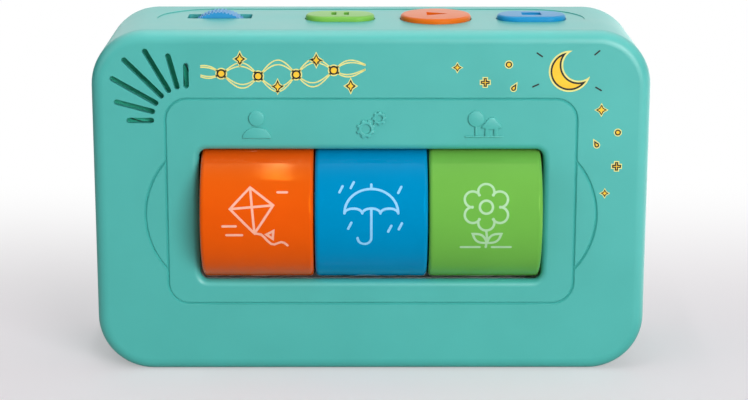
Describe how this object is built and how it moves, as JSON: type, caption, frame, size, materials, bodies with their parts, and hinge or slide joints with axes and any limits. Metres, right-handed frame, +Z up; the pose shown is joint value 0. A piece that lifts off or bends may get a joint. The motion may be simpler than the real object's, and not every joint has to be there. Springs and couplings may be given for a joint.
{
  "type": "audio story player",
  "caption": "Children's tabletop audio story player: rounded teal case, turnable picture drums in a front window, top buttons and volume wheel, corner speaker slots.",
  "frame": {"origin": "centre of the case's flat base, in the plane it rests on, midway between the case's front and back faces", "axes": "+X to the right of someone who faces the front, +Y to the back, +Z up"},
  "size_m": [0.18, 0.0657, 0.1152],
  "materials": {
    "case_teal": "satin moulded ABS, teal",
    "drum_orange": "glossy moulded ABS, orange",
    "drum_blue": "glossy moulded ABS, blue",
    "drum_green": "glossy moulded ABS, light green",
    "button_green": "glossy moulded ABS, light green",
    "button_orange": "glossy moulded ABS, orange",
    "button_blue": "glossy moulded ABS, blue",
    "white_plastic": "natural white ABS",
    "acetal": "natural acetal",
    "steel": "zinc-plated steel",
    "silicone": "grey silicone rubber",
    "board": "green glass-fibre circuit board",
    "black_plastic": "black moulded plastic",
    "paper": "pressed black paper",
    "foam": "black foam ring",
    "ferrite": "sintered ferrite",
    "magnet_nickel": "nickel-plated magnet",
    "cell_skin": "lacquered steel can",
    "ribbon_white": "flat flexible cable"
  },
  "bodies": {
    "case": {"front_housing": "case_teal", "rear_cover": "case_teal", "battery_door": "case_teal", "case_screws": "steel", "battery_door_screw": "steel", "battery_cells": "cell_skin", "battery_contacts_left": "steel", "battery_contacts_right": "steel", "drum_shaft": "steel", "shaft_clips": "steel", "drum_cradle": "white_plastic", "cradle_screws": "steel", "keypad_mat": "silicone", "button_board": "board", "button_board_screws": "steel", "button_ribbon": "ribbon_white", "volume_control_body": "black_plastic", "main_board": "board", "main_board_screws": "steel", "drum_sensors": "black_plastic", "board_components": "black_plastic", "speaker_gasket": "foam", "speaker_basket": "steel", "speaker_cone": "paper", "speaker_magnet": "ferrite", "speaker_strap": "white_plastic", "speaker_strap_screws": "steel", "click_spring_left": "acetal", "click_spring_middle": "acetal", "click_spring_right": "acetal"},
    "drum_left": {"drum_shell_left": "drum_orange", "drum_cap_left": "white_plastic", "drum_magnets_left": "magnet_nickel"},
    "drum_middle": {"drum_shell_middle": "drum_blue", "drum_cap_middle": "white_plastic", "drum_magnets_middle": "magnet_nickel"},
    "drum_right": {"drum_shell_right": "drum_green", "drum_cap_right": "white_plastic", "drum_magnets_right": "magnet_nickel"},
    "pause": {"pause_button": "button_green"},
    "play": {"play_button": "button_orange"},
    "stop": {"stop_button": "button_blue"},
    "volume": {"volume_wheel": "button_blue", "volume_shaft": "steel", "volume_wheel_screw": "steel"}
  },
  "joints": [
    {"name": "drum_left_turn", "type": "hinge", "parent": "case", "child": "drum_left", "pos_m": [-0.0368, -0.0162, 0.05285], "axis": [1, 0, 0], "continuous": true, "deforming": ["click_spring_left"]},
    {"name": "drum_middle_turn", "type": "hinge", "parent": "case", "child": "drum_middle", "pos_m": [0, -0.0162, 0.05285], "axis": [1, 0, 0], "continuous": true, "deforming": ["click_spring_middle"]},
    {"name": "drum_right_turn", "type": "hinge", "parent": "case", "child": "drum_right", "pos_m": [0.0368, -0.0162, 0.05285], "axis": [1, 0, 0], "continuous": true, "deforming": ["click_spring_right"]},
    {"name": "pause_press", "type": "slide", "parent": "case", "child": "pause", "axis": [0, 0, -1], "range_m": [0, 0.0015], "stiffness_N_per_m": 300, "springref_m": -0.002, "deforming": ["keypad_mat"]},
    {"name": "play_press", "type": "slide", "parent": "case", "child": "play", "axis": [0, 0, -1], "range_m": [0, 0.0015], "stiffness_N_per_m": 300, "springref_m": -0.002, "deforming": ["keypad_mat"]},
    {"name": "stop_press", "type": "slide", "parent": "case", "child": "stop", "axis": [0, 0, -1], "range_m": [0, 0.0015], "stiffness_N_per_m": 300, "springref_m": -0.002, "deforming": ["keypad_mat"]},
    {"name": "volume_turn", "type": "hinge", "parent": "case", "child": "volume", "pos_m": [-0.0501, 0.0045, 0.10365], "axis": [0, 1, 0], "range_deg": [-135, 135]}
  ]
}
